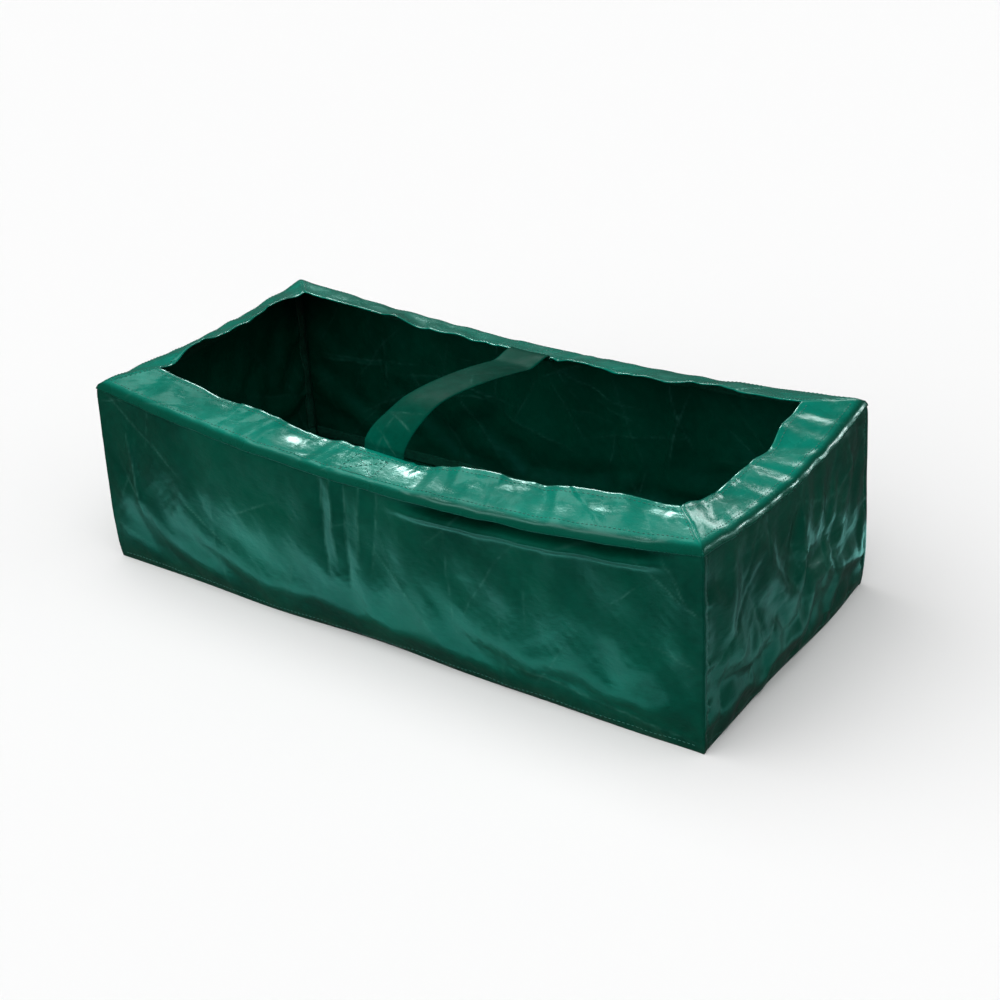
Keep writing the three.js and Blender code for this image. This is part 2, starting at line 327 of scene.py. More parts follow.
def smoothstep(low, high, value):
    t = np.clip((value - low) / (high - low), 0, 1)
    return t * t * (3 - 2 * t)


def hump(off, width):
    """A bell curve, 1 at off = 0."""
    return np.exp(-((off / width) ** 2))


def path_length(line):
    """The distance along a line of points to each of them."""
    return np.concatenate([[0], np.cumsum(np.linalg.norm(np.diff(line, axis=0), axis=1))])


class Panel:
    """A sheet of cloth as a grid of points on its outer face, rows by columns."""

    def __init__(self, name, grid):
        self.name, self.grid = name, grid
        self.normals = normals_of(grid)
        rows = np.linalg.norm(np.diff(grid, axis=0), axis=2).mean(axis=1)
        columns = np.linalg.norm(np.diff(grid, axis=1), axis=2).mean(axis=0)
        self.t = np.concatenate([[0], np.cumsum(rows)])  # metres up and along the cloth
        self.s = np.concatenate([[0], np.cumsum(columns)])
        self.crease = np.zeros(grid.shape[:2])
        self.shaded = np.zeros(grid.shape[:2])

    def places(self):
        """The metres along and up the cloth, for each point of the grid."""
        return np.meshgrid(self.s, self.t)

    def push(self, height, mark=None):
        """Moves the sheet along its normals, and notes where it is creased."""
        self.grid = self.grid + self.normals * height[..., None]
        if mark is not None:
            self.crease = np.maximum(self.crease, mark)

    def at(self, s, t):
        """Points and normals at distances along and up the sheet."""
        j = np.interp(s, self.s, np.arange(len(self.s)))
        i = np.interp(t, self.t, np.arange(len(self.t)))
        i0 = np.minimum(i.astype(int), len(self.t) - 2)
        j0 = np.minimum(j.astype(int), len(self.s) - 2)
        fi, fj = (i - i0)[:, None], (j - j0)[:, None]
        found = []
        for values in (self.grid, self.normals):
            low = values[i0, j0] * (1 - fj) + values[i0, j0 + 1] * fj
            high = values[i0 + 1, j0] * (1 - fj) + values[i0 + 1, j0 + 1] * fj
            found.append(low * (1 - fi) + high * fi)
        return found[0], unit(found[1])


# --- Creases ---

CREASE_MARK = 0.9 * MM  # how wide a crease is scuffed


def crumple(panel, count, longest, width, height, steep=0.5):
    """Random straight creases in laminated cloth: ridges and troughs that fade at both ends."""
    s, t = panel.places()
    total = np.zeros_like(s)
    mark = np.zeros_like(s)
    for _ in range(count):
        x, y = rng.uniform(0, panel.s[-1]), rng.uniform(0, panel.t[-1])
        angle = rng.normal(math.pi / 2, steep) + (rng.random() < 0.35) * math.pi / 2
        length = rng.uniform(0.35, 1) * longest
        broad = rng.uniform(0.5, 1.4) * width
        tall = rng.choice([-1, 1]) * rng.uniform(0.3, 1) * height
        dx, dy = s - x, t - y
        run = (dx * math.cos(angle) + dy * math.sin(angle)) / length
        off = -dx * math.sin(angle) + dy * math.cos(angle)
        bend = off + 0.15 * length * run**2 * rng.uniform(-1, 1)
        fade = np.clip(1 - run**2, 0, 1) ** 1.5
        total += tall * fade * np.exp(-np.abs(bend) / broad)
        mark = np.maximum(mark, fade * hump(bend, CREASE_MARK) * abs(tall) / height)
    s_edge = np.minimum(s, panel.s[-1] - s)
    t_edge = np.minimum(t, panel.t[-1] - t)
    fade = smoothstep(0, 14 * MM, np.minimum(s_edge, t_edge))
    return total * fade, mark * fade


def fold(panel, start, end, width, height):
    """One given crease, from one (s, t) to another."""
    s, t = panel.places()
    (x0, y0), (x1, y1) = start, end
    length = math.hypot(x1 - x0, y1 - y0)
    cos, sin = (x1 - x0) / length, (y1 - y0) / length
    run = ((s - x0) * cos + (t - y0) * sin) / length
    off = -(s - x0) * sin + (t - y0) * cos
    fade = smoothstep(-0.15, 0.25, run) * smoothstep(1.15, 0.75, run)
    return height * fade * np.exp(-np.abs(off) / width), fade * hump(off, 1.0 * MM) * 0.8


# --- Meshes from grids ---


def grid_faces(rows, columns, first=0, flip=False):
    index = first + np.arange(rows * columns).reshape(rows, columns)
    quads = [index[:-1, :-1], index[:-1, 1:], index[1:, 1:], index[1:, :-1]]
    if flip:
        quads.reverse()
    return np.stack(quads, axis=-1).reshape(-1, 4)


def boundary(rows, columns):
    """The indices round the edge of a grid, anticlockwise seen from its outer face."""
    index = np.arange(rows * columns).reshape(rows, columns)
    return np.concatenate([index[0, :-1], index[:-1, -1], index[-1, :0:-1], index[:0:-1, 0]])


def smooth_shaded(mesh):
    mesh.polygons.foreach_set("use_smooth", np.ones(len(mesh.polygons), bool))
    mesh.update()


EDGE_ROUND = 0.4  # how far a sheet's rounded edge stands out, in thicknesses


def cloth_piece(panel, thickness, name=None):
    """A closed sheet with rounded edges, and its metres along and up the cloth as a UV map."""
    grid, normals = panel.grid, panel.normals
    rows, columns = grid.shape[:2]
    outer = grid.reshape(-1, 3)
    inner = (grid - normals * thickness).reshape(-1, 3)
    edge = boundary(rows, columns)
    middle = (outer[edge] + inner[edge]) / 2
    tangent = unit(np.roll(middle, -1, axis=0) - np.roll(middle, 1, axis=0))
    away = unit(np.cross(tangent, normals.reshape(-1, 3)[edge]))
    rim = middle + away * thickness * EDGE_ROUND
    count = len(outer)
    ring = 2 * count + np.arange(len(edge))
    after, ring_after = np.roll(edge, -1), np.roll(ring, -1)
    faces = np.concatenate(
        [
            grid_faces(rows, columns),
            grid_faces(rows, columns, count, flip=True),
            np.stack([after, edge, ring, ring_after], axis=-1),
            np.stack([ring_after, ring, edge + count, after + count], axis=-1),
        ]
    )
    piece = new_object(name or f"{panel.name}_cloth", np.concatenate([outer, inner, rim]), faces)
    mesh = piece.data
    flat = np.stack([values.ravel() for values in panel.places()], axis=1)
    metres = np.concatenate([flat, flat, flat[edge]])
    corners = np.zeros(len(mesh.loops), int)
    mesh.loops.foreach_get("vertex_index", corners)
    layer = mesh.uv_layers.new(name="cloth")
    layer.uv.foreach_set("vector", metres[corners].astype(np.float32).ravel())
    for mark in ("crease", "shaded"):
        values = getattr(panel, mark).ravel()
        values = np.concatenate([values, values, values[edge]])
        layer = mesh.attributes.new(mark, "FLOAT", "POINT")
        layer.data.foreach_set("value", values.astype(np.float32))
    smooth_shaded(mesh)
    return piece


STITCH_PITCH, STITCH_LENGTH, THREAD = 5.0 * MM, 3.6 * MM, 0.36 * MM
STITCH_STEPS = np.array([-1.0, -0.82, -0.45, 0.0, 0.45, 0.82, 1.0])  # along half a stitch
STITCH_GIRTH = np.array([0.35, 0.8, 1.0, 1.05, 1.0, 0.8, 0.35]) * THREAD
STITCH_LIFT = np.array([-0.5, -0.1, 0.12, 0.18, 0.12, -0.1, -0.5]) * MM  # it dips into the cloth
STITCH_SIDES = 7
STITCH_ASKEW = 0.06


def stitch_points(points, normals):
    """The stitches along a line of points on a sheet: each one's middle, direction and normal."""
    length = path_length(points)
    count = max(int(length[-1] / STITCH_PITCH), 1)
    middles = (np.arange(count) + 0.5) * length[-1] / count

    def pick(values, at):
        return np.stack([np.interp(at, length, values[:, k]) for k in range(3)], axis=1)

    ends = [pick(points, middles + sign * STITCH_LENGTH / 2) for sign in (-1, 1)]
    middle = (ends[0] + ends[1]) / 2
    return middle, unit(ends[1] - ends[0]), unit(pick(normals, middles))


def thread_piece(name, runs):
    """Rows of stitches as one mesh of short loops of thread."""
    stitches = [stitch_points(*run) for run in runs]
    middle, along, normal = (np.concatenate(parts) for parts in zip(*stitches))
    count, steps, sides = len(middle), len(STITCH_STEPS), STITCH_SIDES
    wobble = rng.normal(0, STITCH_ASKEW, (count, 1)) * np.cross(normal, along)
    along = unit(along + wobble)
    across = np.cross(normal, along)
    angle = (2 * math.pi * np.arange(sides) / sides)[:, None]
    centre = (
        middle[:, None]
        + along[:, None] * (STITCH_STEPS * STITCH_LENGTH / 2)[:, None]
        + normal[:, None] * STITCH_LIFT[:, None]
    )
    ring = across[:, None, None] * np.cos(angle) + normal[:, None, None] * np.sin(angle)
    points = centre[:, :, None] + ring * STITCH_GIRTH[:, None, None]
    index = np.arange(count * steps * sides).reshape(count, steps, sides)
    after = np.roll(index, -1, axis=2)
    quads = np.stack([index[:, :-1], after[:, :-1], after[:, 1:], index[:, 1:]], axis=-1)
    faces = quads.reshape(-1, 4).tolist()
    faces += index[:, 0, ::-1].tolist() + index[:, -1].tolist()
    piece = new_object(name, points.reshape(-1, 3), faces)
    smooth_shaded(piece.data)
    return piece


# --- Materials ---


class Nodes:
    """A material's node tree, with the few steps that the materials here share."""

    def __init__(self, name):
        self.material = bpy.data.materials.new(name)
        self.material.use_nodes = True
        self.tree = self.material.node_tree
        self.shader = self.tree.nodes["Principled BSDF"]

    def add(self, kind, **values):
        node = self.tree.nodes.new(kind)
        for key, value in values.items():
            setattr(node, key, value)
        return node

    def link(self, source, target):
        self.tree.links.new(source, target)

    def put(self, node, **values):
        """Sets a node's inputs, named with _ for each space, to numbers or to other outputs."""
        for name, value in values.items():
            socket = node.inputs[name.replace("_", " ")]
            if isinstance(value, bpy.types.NodeSocket):
                self.link(value, socket)
            else:
                socket.default_value = value

    def finish(self, **values):
        self.put(self.shader, **values)
        return self.material

    def place(self):
        return self.add("ShaderNodeTexCoord").outputs["Object"]

    def cloth(self):
        return self.add("ShaderNodeUVMap", uv_map="cloth").outputs[0]

    def split(self, vector):
        node = self.add("ShaderNodeSeparateXYZ")
        self.link(vector, node.inputs[0])
        return node.outputs

    def marked(self, name):
        return self.add("ShaderNodeAttribute", attribute_name=name).outputs["Fac"]

    def math(self, operation, *values):
        node = self.add("ShaderNodeMath", operation=operation)
        for socket, value in zip(node.inputs, (*values, 0.0, 0.0)):
            if isinstance(value, bpy.types.NodeSocket):
                self.link(value, socket)
            else:
                socket.default_value = value
        return node.outputs[0]

    def noise(self, where, scale, detail=3.0, rough=0.5):
        node = self.add("ShaderNodeTexNoise")
        self.put(node, Vector=where, Scale=scale, Detail=detail, Roughness=rough)
        return node.outputs["Fac"]

    def remap(self, value, low, high, to_low=0.0, to_high=1.0):
        node = self.add("ShaderNodeMapRange")
        self.put(node, Value=value, From_Min=low, From_Max=high, To_Min=to_low, To_Max=to_high)
        return node.outputs["Result"]

    def mix(self, factor, a, b):
        node = self.add("ShaderNodeMix", data_type="RGBA")
        self.put(node, Factor=factor, A=a, B=b)
        return next(output for output in node.outputs if output.type == "RGBA")

    def bump(self, height, distance, strength, after=None):
        node = self.add("ShaderNodeBump")
        self.put(node, Height=height, Distance=distance, Strength=strength)
        if after is not None:
            self.link(after, node.inputs["Normal"])
        return node.outputs["Normal"]

    def weave(self, pitch):
        """A plain weave of flat tapes, from the metres along and up the cloth."""
        where = self.split(self.cloth())
        turn = [self.math("MULTIPLY", where[k], 2 * math.pi / pitch) for k in (0, 1)]
        over = self.math("MULTIPLY", *(self.math("SINE", angle) for angle in turn))
        half = [self.math("MULTIPLY", angle, 0.5) for angle in turn]
        gaps = [self.math("ABSOLUTE", self.math("SINE", angle)) for angle in half]
        raised = self.math("MULTIPLY_ADD", over, 0.25, 0.5)
        groove = self.math("SMOOTH_MIN", self.math("MINIMUM", *gaps), 0.35, 0.1)
        return self.math("ADD", raised, groove)


def linear(red, green, blue):
    """A colour given in screen values from 0 to 255."""
    values = [c / 255 for c in (red, green, blue)]
    return (*[c / 12.92 if c <= 0.04045 else ((c + 0.055) / 1.055) ** 2.4 for c in values], 1.0)


LIP = linear(0, 66, 50)  # the collar's lip over the rim, in the wall's darker colour; the rest of the collar is painted lighter, as painted light
SCUFF = linear(92, 150, 138)
SOIL = linear(70, 78, 62)
SOIL_HEIGHT = 22 * MM
GREEN_SHEEN = (0.08, 1.0, 0.86, 1.0)
LAMINATE_IOR, COAT_ROUGH = 1.5, 0.14
WEAVE, TAPE_WEAVE = 2.3 * MM, 1.1 * MM


def laminate(name, deep, light, rough, gloss, coat, soil=False):
    """Woven tape cloth under a clear laminated skin, creased white along its folds."""
    n = Nodes(name)
    where = n.place()
    broad = n.noise(where, 9.0, 2.0)
    fine = n.noise(where, 90.0, 4.0, 0.6)
    blend = n.math("MULTIPLY_ADD", fine, 0.35, n.math("MULTIPLY", broad, 0.65))
    colour = n.mix(n.remap(blend, 0.36, 0.64), linear(*deep), linear(*light))
    crease = n.marked("crease")
    # Where marked as shaded, the collar's lip gets the wall's darker colour in place of the
    # collar's painted light.
    colour = n.mix(n.marked("shaded"), colour, LIP)
    scuffed = n.math("MULTIPLY", crease, n.remap(fine, 0.4, 0.6, 0.03, 0.22))
    colour = n.mix(scuffed, colour, SCUFF)
    if soil:
        low = n.remap(n.split(where)["Z"], 0.0, SOIL_HEIGHT, 1.0, 0.0)
        specks = n.remap(n.noise(where, 40.0, 5.0, 0.7), 0.42, 0.7, 0.0, 0.25)
        colour = n.mix(n.math("MULTIPLY", low, specks), colour, SOIL)
    streak = n.noise(where, 28.0, 3.0, 0.55)
    roughness = n.remap(streak, 0.3, 0.7, rough - 0.07, rough + 0.09)
    grain = n.add("ShaderNodeMapping")
    n.put(grain, Vector=n.cloth(), Scale=(0.45, 1.0, 1.0))
    normal = n.bump(n.weave(WEAVE), 0.05 * MM, 0.55)
    normal = n.bump(n.noise(grain.outputs[0], 220.0, 4.0, 0.65), 0.45 * MM, 0.7, normal)
    normal = n.bump(n.noise(where, 55.0, 4.0, 0.55), 0.9 * MM, 0.35, normal)
    normal = n.bump(n.noise(where, 16.0, 2.0, 0.5), 3.0 * MM, 0.14, normal)
    return n.finish(
        Base_Color=colour,
        Roughness=n.math("ADD", roughness, n.math("MULTIPLY", crease, 0.12)),
        Normal=normal,
        IOR=LAMINATE_IOR,
        Specular_IOR_Level=gloss,
        Specular_Tint=GREEN_SHEEN,
        Coat_Weight=coat,
        Coat_Roughness=COAT_ROUGH,
        Coat_IOR=LAMINATE_IOR,
    )


def tape(name, colour):
    """Matt ribbed binding tape."""
    n = Nodes(name)
    shade = n.remap(n.noise(n.place(), 300.0, 3.0), 0.3, 0.7)
    darker = tuple(c * 0.55 for c in colour[:3]) + (1.0,)
    return n.finish(
        Base_Color=n.mix(shade, darker, colour),
        Roughness=0.8,
        Specular_IOR_Level=0.2,
        Normal=n.bump(n.weave(TAPE_WEAVE), 0.12 * MM, 0.8),
    )


def thread(name, colour):
    """Twisted polyester thread."""
    n = Nodes(name)
    grain = n.noise(n.place(), 2400.0, 2.0)
    lighter = tuple(min(c * 1.8 + 0.01, 1.0) for c in colour[:3]) + (1.0,)
    return n.finish(
        Base_Color=n.mix(n.remap(grain, 0.35, 0.65), colour, lighter),
        Roughness=0.55,
        Sheen_Weight=0.2,
        Normal=n.bump(grain, 0.08 * MM, 0.8),
    )


# Each laminate's dark and light colours, then its roughness, its gloss and its clear coat.
WALL = laminate("wall_laminate", (0, 46, 33), (0, 65, 48), 0.38, 0.5, 0.11, soil=True)
BASE = laminate("base_laminate", (0, 60, 46), (0, 76, 59), 0.44, 0.45, 0.05)
# The collar is the walls' cloth painted lighter: painted light on its upward face, where more light
# falls.
COLLAR_PAINTED_LIGHT = laminate("collar_laminate", (0, 102, 84), (0, 127, 107), 0.26, 0.5, 0.28)
STRAP = laminate("strap_laminate", (0, 56, 43), (0, 74, 59), 0.42, 0.015, 0.0)
TAPE = tape("binding_tape", linear(0, 78, 60))
THREAD_FINISH = thread("sewing_thread", linear(2, 84, 72))


def add(piece, material, node):
    """Gives a piece its finish and its body, and hides the CAD node that it stands for."""
    piece.data.materials.append(material)
    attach(piece, "root")
    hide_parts(node)
    return piece


# --- Walls ---

STEP = 2.2 * MM  # the fine grid's spacing
LIP_ROWS = 3  # how far the collar reaches down outside the wall, in rows of the fine grid

points, faces, index, floor = bag_mesh()
settled = simulate(points, faces, index)
settled = rounded_rim(settled, index)


def steps(length):
    return round(length / STEP) + 1


def columns_of(k):
    """The loop's columns of side k, with the next side's first one."""
    start = sum(s.columns for s in SIDES[:k])
    return np.arange(start, start + SIDES[k].columns + 1) % index.shape[1]


SEAM_INSET = 6 * MM


def seam_strip(panel):
    """The doubled cloth along the corner seams stands proud, and the cloth puckers beside it."""
    s, _ = panel.places()
    edge = np.minimum(s, panel.s[-1] - s)
    pucker = np.zeros_like(edge)
    for at in np.cumsum(rng.uniform(9, 24, 24)) * MM:
        tall = rng.uniform(-0.45, 0.45) * MM
        pucker += tall * hump(panel.t[:, None] - at, 3.5 * MM) * np.exp(-edge / (16 * MM))
    strip = 0.7 * MM * smoothstep(SEAM_INSET + 0.6 * MM, SEAM_INSET - 0.6 * MM, edge)
    groove = -0.5 * MM * hump(edge - SEAM_INSET - 0.8 * MM, 1.4 * MM)
    return strip + groove + pucker * smoothstep(0, 5 * MM, edge)


def edge_puckers(panel, from_top, height):
    """Short gathers that run from the seam along the top or the foot of a wall."""
    s, t = panel.places()
    away = panel.t[-1] - t if from_top else t
    total = np.zeros_like(s)
    at = 0.0
    while at < panel.s[-1]:
        at += rng.uniform(14, 38) * MM
        broad = rng.uniform(3.5, 8) * MM
        reach = rng.uniform(10, 34) * MM
        lean = rng.uniform(-0.5, 0.5) * away
        tall = rng.uniform(-1, 1) * height
        total += tall * hump(s - at - lean, broad) * np.exp(-away / reach)
    return total * smoothstep(4 * MM, 12 * MM, away)


walls, collar_grids = {}, {}
for k, side in enumerate(SIDES):
    columns = columns_of(k)
    grid = settled[index[: WALL_ROWS + 1]][:, columns]
    panel = Panel(side.wall, refined(grid, steps(RIM_Z), steps(2 * side.half)))
    walls[side.name] = panel
    rows = settled[index[WALL_ROWS:]][:, columns]
    band = refined(rows, steps(COLLAR_WIDTH), panel.grid.shape[1])
    collar_grids[side.name] = np.concatenate([panel.grid[-1 - LIP_ROWS : -1], band])

# The front wall: pleats under the strap, creases by the left corner and along the foot.
front = walls["front"]
middle = front.s[-1] / 2
top = front.t[-1]
front.push(*crumple(front, 24, 90 * MM, 9 * MM, 0.55 * MM))
STRAP_PLEATS = (  # how far from the middle in mm, how tall in mm and how far down it runs
    (-64, -3.2, 0.42),
    (-46, 3.0, 0.5),
    (-28, -2.8, 0.36),
    (-8, 2.3, 0.55),
    (14, -2.0, 0.5),
)
for shift, tall, low in STRAP_PLEATS:
    start = (middle + shift * MM, top * 1.02)
    end = (middle + (shift * 0.75 - 6) * MM, top * low)
    front.push(*fold(front, start, end, 7 * MM, tall * MM))
FRONT_FOLDS = (  # from where, to where, width and height
    ((40 * MM, 0.80 * top), (52 * MM, 0.34 * top), 7 * MM, 2.6 * MM),
    ((22 * MM, 0.62 * top), (96 * MM, 0.10 * top), 12 * MM, -1.0 * MM),
    ((10 * MM, 0.97 * top), (120 * MM, 0.66 * top), 14 * MM, -1.2 * MM),
    ((0.70 * 2 * middle, 0.20 * top), (0.99 * 2 * middle, 0.05 * top), 16 * MM, 1.2 * MM),
)
for line in FRONT_FOLDS:
    front.push(*fold(front, *line))

# The right end wall: an upright crease where it was once folded flat, and crumpled cloth by it.
right = walls["right"]
deep = right.s[-1]
right.push(*crumple(right, 34, 120 * MM, 9 * MM, 1.9 * MM, steep=0.35))
far_half = smoothstep(0.30, 0.5, right.places()[0] / deep)
height, mark = crumple(right, 60, 70 * MM, 5 * MM, 1.3 * MM)
right.push(height * far_half, mark * far_half)
right.push(*fold(right, (0.53 * deep, 1.0 * top), (0.50 * deep, 0.1 * top), 12 * MM, 3.4 * MM))
right.push(*fold(right, (0.78 * deep, 0.9 * top), (0.72 * deep, 0.2 * top), 9 * MM, -2.6 * MM))
for name, count in (("back", 44), ("left", 26)):
    walls[name].push(*crumple(walls[name], count, 120 * MM, 9 * MM, 1.6 * MM))
TOP_PUCKERS, FRONT_TOP_PUCKERS, FOOT_PUCKERS = 0.6 * MM, 1.2 * MM, 0.8 * MM
for name, panel in walls.items():
    high = FRONT_TOP_PUCKERS if name == "front" else TOP_PUCKERS
    panel.push(edge_puckers(panel, True, high) + edge_puckers(panel, False, FOOT_PUCKERS))
    if name in ("left", "right"):
        panel.push(seam_strip(panel))

# Where the front collar stands off the wall, right of the strap, the wall's top is drawn in and
# folded out again below it.
s, t = front.places()
below = front.t[-1] - t
loose = smoothstep(0.52, 0.62, s / front.s[-1]) * smoothstep(0.97, 0.90, s / front.s[-1])
drawn_in = -9.0 * MM * hump(below - 9 * MM, 4.5 * MM)
folded_out = 6.0 * MM * hump(below - 18 * MM, 5 * MM)
front.push(loose * (drawn_in + folded_out))
for panel in walls.values():
    panel.grid[..., 2] = np.maximum(panel.grid[..., 2], 0)
    panel.normals = normals_of(panel.grid)

# --- Collars ---

LIFT = {"front": 7 * MM, "right": -2 * MM, "back": 4 * MM, "left": 10 * MM}  # of the inner edge
PLEAT = {"front": 1.7, "right": 0.9, "back": 1.4, "left": 1.3}  # the tallest pleats, in mm
WAVE = {"front": 1.0 * MM, "right": 1.7 * MM, "back": 1.3 * MM, "left": 1.6 * MM}
STAND_OFF = 5 * MM  # of the front collar's lip, right of the strap
LIP = 8 * MM  # the part of the collar outside the rim


def collar_waves(half, u):
    """Long waves along the band."""
    wave = np.zeros(len(u))
    for _ in range(4):
        length = rng.uniform(90, 210) * MM
        wave += np.sin(u * half * 2 * math.pi / length + rng.uniform(0, 2 * math.pi))
    return wave


def collar_pleats(panel, tallest):
    """Pleats across the band, higher towards its inner edge."""
    s, t = panel.places()
    inner = np.clip((t - LIP) / COLLAR_WIDTH, 0, 1)
    total = np.zeros_like(s)
    at = 0.0
    while at < panel.s[-1]:
        at += rng.uniform(40, 110) * MM
        broad = rng.uniform(8, 18) * MM
        tall = rng.uniform(0.3, tallest) * MM * rng.choice([-1, 1])
        lean = rng.uniform(-0.7, 0.7) * (t - LIP)
        off = s - at - lean
        if rng.random() < 0.55:  # a knife pleat: steep on one side and long on the other
            away = off * rng.choice([-1, 1])
            shape = np.where(away < 0, np.exp(away / (1.6 * MM)), np.exp(-away / (1.5 * broad)))
            total += 0.9 * tall * shape * (0.3 + 0.7 * inner)
        else:
            shape = np.exp(0.3 - np.sqrt((off / broad) ** 2 + 0.09))
            total += tall * shape * (0.25 + 0.75 * inner)
    end = np.minimum(s, panel.s[-1] - s)
    return total * smoothstep(30 * MM, 110 * MM, end) * smoothstep(6 * MM, 24 * MM, t)


def collar_panel(side, grid):
    """The collar over its rim: a lip outside the wall, the rolled rim, and the band turned in."""
    count, columns = grid.shape[:2]
    u = np.linspace(-1, 1, columns)
    end = 1 - np.abs(u)
    down = np.arange(count)[:, None]
    offset = BAND + 0.15 * MM + 0 * u
    if side.name == "front":
        off = smoothstep(0.05, 0.25, u) * smoothstep(0.97, 0.85, u)
        offset = offset + STAND_OFF * off * smoothstep(LIP_ROWS + 4, 0, down)
    normals = normals_of(grid)
    outwards = np.maximum(normals @ side.out, 0)
    mitred = outwards * np.sign(u) * np.abs(u) ** 60
    way = normals + mitred[..., None] * side.along
    wave = collar_waves(side.half, u)
    raised = LIFT[side.name] * smoothstep(0, 0.24 if side.bow > 5 * MM else 0.5, end)
    if side.name == "front":
        raised = raised * smoothstep(0.02, 0.4, u)
    held = 1 - np.exp(-((u * side.half - STRAP_AT) / (45 * MM)) ** 2)
    held = smoothstep(0.0, 0.28, end) * held
    across = np.clip((down - LIP_ROWS) / (count - 1 - LIP_ROWS), 0, 1)
    lift = across**1.3 * (raised + WAVE[side.name] * wave * held)
    grid = grid + way * (offset + np.zeros_like(across))[..., None] + lift[..., None] * UP
    panel = Panel(f"{side.name}_collar", grid)
    s, t = panel.places()
    end = np.minimum(s, panel.s[-1] - s)
    pleats = collar_pleats(panel, PLEAT[side.name])
    height, mark = crumple(panel, round(panel.s[-1] / (24 * MM)), 46 * MM, 6 * MM, 0.8 * MM)
    panel.push(pleats + height * smoothstep(4 * MM, 16 * MM, t), mark)
    mitre = hump(end, 2.2 * MM) * -0.8 * MM
    hem = 0.35 * MM * smoothstep(8.5 * MM, 7.5 * MM, panel.t[-1] - t)
    panel.push((mitre + hem) * smoothstep(5 * MM, 9 * MM, t))
    panel.normals = normals_of(panel.grid)
    # The lip over the rim is marked to keep the wall's darker colour, without the collar's painted
    # light.
    panel.shaded = smoothstep(15 * MM, 7 * MM, t)
    return panel


bands = {side.name: collar_panel(side, collar_grids[side.name]) for side in SIDES}

# --- Strap ---

STRAP_WIDTH = 50 * MM
STRAP_ENDS = {"front": -18 * MM, "back": 0.0}
STRAP_CROWN = (-54 * MM, strap_box[1][2] - 1 * MM)
STRAP_STEP = 1.8 * MM
STRAP_CLEAR = 1.6 * MM  # under the collar
STRAP_SINK = 3 * MM  # of its ends, below the middle of the rim
STRAP_EDGE = RIM_Y + LONG["bow"] - COLLAR_WIDTH  # where it comes out from under the collar


def bezier(*corners):
    t = np.linspace(0, 1, 60)[:, None]
    line = [np.broadcast_to(np.array(c, float), (60, 2)) for c in corners]
    while len(line) > 1:
        line = [a * (1 - t) + b * t for a, b in zip(line, line[1:])]
    return line[0]


def strap_line():
    """The strap's centreline as (y, z): under the front collar, up, over and under the back one."""
    start = RIM_Y + LONG["bow"] - 4 * MM
    turn = STRAP_EDGE - 4 * MM
    under = RIM_Z - LONG["sag"] - STRAP_SINK
    low = under + COLLAR_RISE
    over = low + 8 * MM
    y, top = STRAP_CROWN
    stretches = [
        bezier((-start, under), (-STRAP_EDGE, low)),
        bezier((-STRAP_EDGE, low), (-turn, low), (-turn, over)),
        bezier((-turn, over), (8 * MM - turn, over + 14 * MM), (y - 35 * MM, top), (y, top)),
        bezier((y, top), (y + 60 * MM, top), (turn - 20 * MM, over + 12 * MM), (turn, over)),
        bezier((turn, over), (turn, low), (STRAP_EDGE, low)),
        bezier((STRAP_EDGE, low), (start, under)),
    ]
    line = np.concatenate(stretches)
    length = path_length(line)
    at = np.linspace(0, length[-1], round(length[-1] / STRAP_STEP) + 1)
    return np.stack([np.interp(at, length, line[:, k]) for k in (0, 1)], axis=1)


def underside(x, y):
    """The height of the collars' lower face over a point near the middle of a long side."""
    panel = bands["front" if y < 0 else "back"]
    column = panel.grid[:, np.argmin(np.abs(panel.grid[-1, :, 0] - x))]
    depth = column[6:, 1] * (1 if y < 0 else -1)
    return np.interp(-abs(y), depth, column[6:, 2]) - BAND


def strap_panel():
    """The strap over its centreline, lying askew, with a twist and edges that curl down."""
    line = strap_line()
    across = np.linspace(-1, 1, 23) * STRAP_WIDTH / 2
    middle_x = np.interp(line[:, 0], [-RIM_Y, RIM_Y], [STRAP_ENDS["front"], STRAP_ENDS["back"]])
    expected = RIM_Z - LONG["sag"] - STRAP_SINK + COLLAR_RISE
    grid = np.zeros((len(across), len(line), 3))
    for i, offset in enumerate(across):
        x = middle_x - offset
        y, z = line.T
        free = smoothstep(STRAP_EDGE + 1 * MM, STRAP_EDGE - 60 * MM, np.abs(y))
        twist = -5.5 * MM * (offset / STRAP_WIDTH) * free * smoothstep(0.09, -0.10, y)
        cup = -1.4 * MM * (2 * offset / STRAP_WIDTH) ** 4 * free
        rest = smoothstep(STRAP_EDGE - 45 * MM, STRAP_EDGE, np.abs(y))
        at_edge = np.array([underside(a, math.copysign(STRAP_EDGE, b)) for a, b in zip(x, y)])
        z = z + rest * (at_edge - STRAP_CLEAR - expected)
        hidden = np.array([underside(a, b) for a, b in zip(x, y)]) - STRAP_CLEAR
        z = np.where(np.abs(y) > STRAP_EDGE - 1 * MM, np.minimum(z, hidden), z)
        grid[i] = np.stack([x, y, z + twist + cup], axis=1)
    panel = Panel("cross_strap", grid)
    panel.push(*crumple(panel, 16, 60 * MM, 6 * MM, 0.7 * MM, steep=0.9))
    panel.normals = normals_of(panel.grid)
    return panel


strap = strap_panel()

# --- Base ---

DRAIN_RADIUS = 5 * MM
DRAINS = [(x, y) for x in (-250 * MM, 0, 250 * MM) for y in (-95 * MM, 95 * MM)]
BEAD_RADIUS = 0.55 * MM  # of the melted rim of a drain hole
BEAD_HEIGHT = 0.8 * MM
BASE_STEP = 4 * MM


def joined(pieces, into):
    bpy.ops.object.select_all(action="DESELECT")
    for piece in pieces:
        piece.select_set(True)
    bpy.context.view_layer.objects.active = into
    bpy.ops.object.join()
    return into


def drain_cutter(x, y):
    bpy.ops.mesh.primitive_cylinder_add(
        vertices=40, radius=DRAIN_RADIUS, depth=20 * MM, location=(x, y, 0)
    )
    return bpy.context.object


